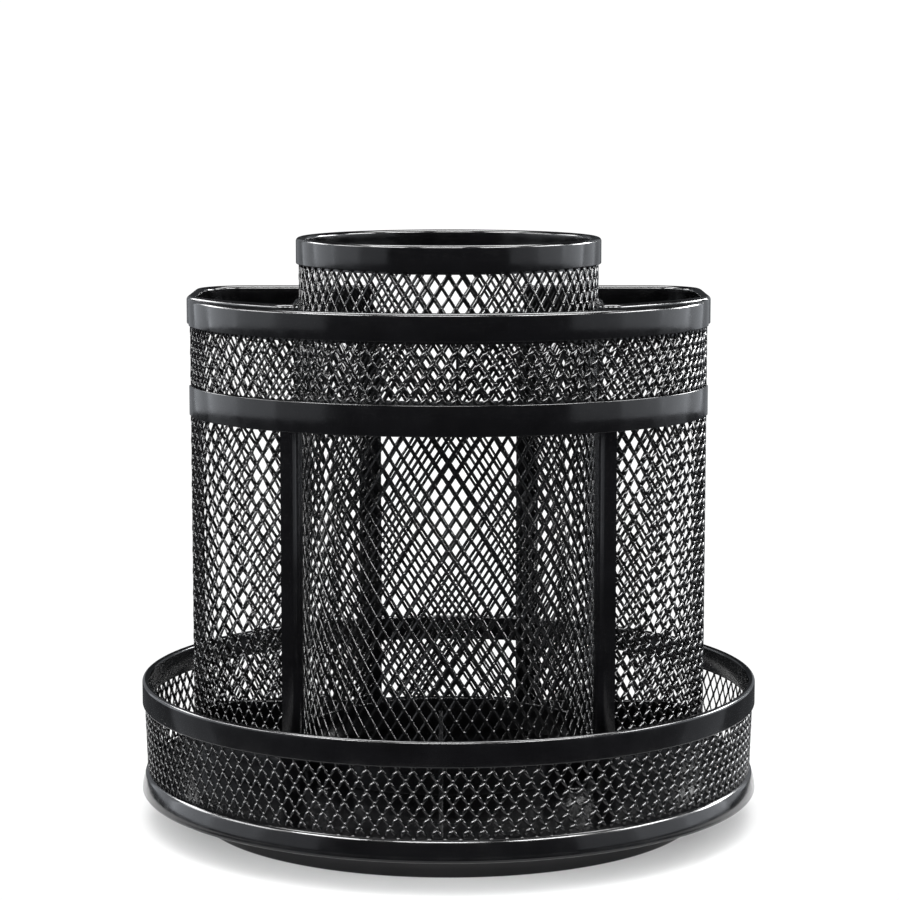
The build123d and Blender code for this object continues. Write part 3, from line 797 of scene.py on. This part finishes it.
# ---------------------------------------------------------------- shelf
def build_shelf():
    """Curved front shelf: wall, rim band and pan."""
    path = shelf_path()
    bottom = SHELF_FLOOR + 0.05 * MM
    top = SHELF_RIM[1] - 4.2 * MM
    wall = expanded_metal("shelf_wall_mesh", path, bottom, top, steady(-1.2 * MM), 0.45, 31)
    place(wall, "shelf_mesh", "black_expanded_metal")
    profile = band_profile(0.0, -2.4 * MM, SHELF_RIM[0], SHELF_RIM[1], 1.15 * MM)
    place(sweep("shelf_rim_band", path, profile), "shelf_rim", "black_coated_steel")
    build_shelf_pan(path)


def build_shelf_pan(path):
    """Front band of the shelf, and its floor plate raised from the CAD node's top face."""
    profile = strip_profile(0.0, -SHEET, SHELF_PAN[0], SHELF_PAN[1])
    band = sweep("shelf_front_band", path, profile)
    source = frame["nodes"]["shelf_pan"].data
    plate = make_object("shelf_floor_plate", [v.co for v in source.vertices],
                        [list(p.vertices) for p in source.polygons], smooth=False)
    work = bmesh.new()
    work.from_mesh(plate.data)
    bmesh.ops.remove_doubles(work, verts=work.verts[:], dist=1e-6)
    outside = [f for f in work.faces if f.normal.z < 0.9 or not on_plate(f.calc_center_median())]
    bmesh.ops.delete(work, geom=outside, context="FACES")
    grown = bmesh.ops.extrude_face_region(work, geom=work.faces[:], use_keep_orig=True)
    under = [v for v in grown["geom"] if isinstance(v, bmesh.types.BMVert)]
    bmesh.ops.translate(work, vec=(0.0, 0.0, -SHEET), verts=under)
    bmesh.ops.recalc_face_normals(work, faces=work.faces[:])
    work.to_mesh(plate.data)
    work.free()
    for piece in (band, plate):
        place(piece, "shelf_pan", "black_coated_steel")


def on_plate(point):
    """True for a point of the shelf floor, clear of the front band."""
    inset = 0.4 * MM
    inside = (point[X] / (SHELF_A - inset)) ** 2 + (point[Y] / (SHELF_B - inset)) ** 2 < 1.0
    return inside and abs(point[Z] - SHELF_FLOOR) < 0.1 * MM


# ---------------------------------------------------------------- stage
FLOOR_DISC_R = 0.145                                # a larger floor would show in the bands


def build_stage():
    """Small pale floor; past its edge the white background takes over."""
    segments = 96
    vertices = [(0.0, 0.0, 0.0)]
    for k in range(segments):
        turn = 2 * pi * k / segments
        vertices.append((FLOOR_DISC_R * cos(turn), FLOOR_DISC_R * sin(turn), 0.0))
    faces = [(0, 1 + k, 1 + (k + 1) % segments) for k in range(segments)]
    floor = make_object("studio_floor", vertices, faces, smooth=False)
    material, tree, shader = new_material("pale_floor")
    tone = noise(tree, 6.0, 2.0)
    color = ramp(tree, tone, (0.86, 0.86, 0.86), (0.88, 0.88, 0.88))
    tree.links.new(color, shader.inputs["Base Color"])
    shader.inputs["Roughness"].default_value = 0.7
    shader.inputs["Specular IOR Level"].default_value = 0.2
    floor.data.materials.append(material)


def softbox(name, spot, target, width, height, power, color=(1, 1, 1)):
    """Rectangular area light at a spot, turned to face a target."""
    data = bpy.data.lights.new(name, "AREA")
    data.shape = "RECTANGLE"
    data.size = width
    data.size_y = height
    data.energy = power
    data.color = color
    light = bpy.data.objects.new(name, data)
    bpy.context.scene.collection.objects.link(light)
    light.location = spot
    aim = np.array(target, float) - np.array(spot, float)
    light.rotation_euler = (
        atan2(sqrt(aim[0] ** 2 + aim[1] ** 2), -aim[2]),
        0.0,
        atan2(aim[1], aim[0]) - pi / 2,
    )
    return light


def gloss_only(light):
    """Let a light show in gloss only, so that it does not wash out the floor."""
    light.visible_diffuse = False


STUDIO_MIDDLE = (0.0, 0.0, 0.08)
STUDIO_R = 0.95                                     # distance of the lights that show in the gloss
COOL_WHITE = (0.90, 0.94, 1.0)
SIDE_PANELS = (                                     # degrees forward, upper power, lower power
    (-60, 0.3, 0.01),
    (-38, 1.1, 0.02),
    (-16, 2.3, 0.20),
    (8, 1.7, 0.07),
    (32, 0.9, 0.03),
)
GLINT_STRIPS = (                                    # name, direction, power
    ("strip_rear_right", (0.80, 0.49, 0.34), 11.0),
    ("strip_right", (0.83, -0.08, 0.54), 14.0),
    ("strip_front_right", (0.50, -0.55, 0.66), 17.0),
    ("strip_front", (-0.06, -0.70, 0.70), 15.0),
    ("strip_front_left", (-0.59, -0.47, 0.645), 17.0),
    ("strip_left", (-0.83, -0.08, 0.50), 7.0),
    ("strip_rear_left", (-0.75, 0.45, 0.45), 5.0),
)
FLOOR_FILLS = (                                     # name, place, width, power
    ("low_front_fill", (0.0, -1.3, 0.20), 2.6, 55.0),
    ("low_left_fill", (-1.2, -0.5, 0.16), 0.9, 22.0),
    ("low_right_fill", (1.2, -0.5, 0.16), 0.9, 16.0),
)


def side_panels(side, word):
    """Tall soft panels beside the object, dimmer to the front, the rear and low down."""
    for number, (turn, upper, lower) in enumerate(SIDE_PANELS):
        x = side * STUDIO_R * cos(radians(turn))
        y = -STUDIO_R * sin(radians(turn))
        name = f"panel_{word}_{number}"
        gloss_only(softbox(name, (x, y, 0.26), STUDIO_MIDDLE, 0.44, 0.6, upper, COOL_WHITE))
        name = f"panel_{word}_{number}_low"
        gloss_only(softbox(name, (x, y, -0.19), STUDIO_MIDDLE, 0.44, 0.3, lower, COOL_WHITE))


def sky_wash():
    """Very soft light from the whole upper half, left out of the gloss."""
    sun = bpy.data.lights.new("sky_wash", "SUN")
    sun.energy = 2.4
    sun.angle = radians(140)
    light = bpy.data.objects.new("sky_wash", sun)
    light.visible_glossy = False
    bpy.context.scene.collection.objects.link(light)


def build_lights():
    """Lights for the gloss alone, a top light, and fills that are left out of the gloss."""
    side_panels(-1, "left")
    side_panels(1, "right")
    for name, aim, power in GLINT_STRIPS:
        spot = tuple(STUDIO_R * a + b for a, b in zip(aim, STUDIO_MIDDLE))
        gloss_only(softbox(name, spot, STUDIO_MIDDLE, 0.42, 0.16, power))
    gloss_only(softbox("overhead_strip", (0.0, 0.10, 1.05), STUDIO_MIDDLE, 1.3, 0.26, 40.0))
    softbox("top", (0.0, 0.10, 1.3), STUDIO_MIDDLE, 1.4, 1.1, 9.0)
    for name, spot, width, power in FLOOR_FILLS:
        fill = softbox(name, spot, (0.0, 0.0, 0.0), width, 0.3, power)
        fill.visible_glossy = False
    sky_wash()


def build_world():
    """White background for the camera; every other ray sees a dim room."""
    world = bpy.data.worlds.new("studio")
    bpy.context.scene.world = world
    world.use_nodes = True
    tree = world.node_tree
    tree.nodes.clear()
    room = tree.nodes.new("ShaderNodeBackground")
    room.inputs["Color"].default_value = (0.88, 0.93, 1.0, 1.0)
    room.inputs["Strength"].default_value = 0.06
    sweep_white = tree.nodes.new("ShaderNodeBackground")
    sweep_white.inputs["Strength"].default_value = 1.05
    sweep_white.inputs["Color"].default_value = (1.0, 1.0, 1.0, 1.0)
    rays = tree.nodes.new("ShaderNodeLightPath")
    mixed = tree.nodes.new("ShaderNodeMixShader")
    output = tree.nodes.new("ShaderNodeOutputWorld")
    tree.links.new(rays.outputs["Is Camera Ray"], mixed.inputs["Fac"])
    tree.links.new(room.outputs["Background"], mixed.inputs[1])
    tree.links.new(sweep_white.outputs["Background"], mixed.inputs[2])
    tree.links.new(mixed.outputs["Shader"], output.inputs["Surface"])


CAMERA_LENS = 111.96                                # mm, on a sensor 36 mm wide
CAMERA_AT = (0.0004, -0.7985, 0.2093)
CAMERA_TILT = 7.36                                  # degrees down from level


def build_camera():
    """Seen from the front, a little above, from about 0.8 m away."""
    data = bpy.data.cameras.new("camera")
    data.sensor_width = 36.0
    data.lens = CAMERA_LENS
    camera = bpy.data.objects.new("camera", data)
    bpy.context.scene.collection.objects.link(camera)
    camera.location = CAMERA_AT
    camera.rotation_euler = (radians(90.0 - CAMERA_TILT), 0.0, 0.0)
    bpy.context.scene.camera = camera


finish_cad_nodes()
build_foot()
build_tray_pan()
build_tray_rim()
build_tray_wall()
build_dividers()
build_cup()
for side_sign, side_word in ((-1, "left"), (1, "right")):
    build_bin(side_sign, side_word)
    build_front_post(side_sign, side_word)
    build_rear_post(side_word)
build_shelf()
build_stage()
build_lights()
build_world()
build_camera()
bpy.context.scene.view_settings.view_transform = "Standard"
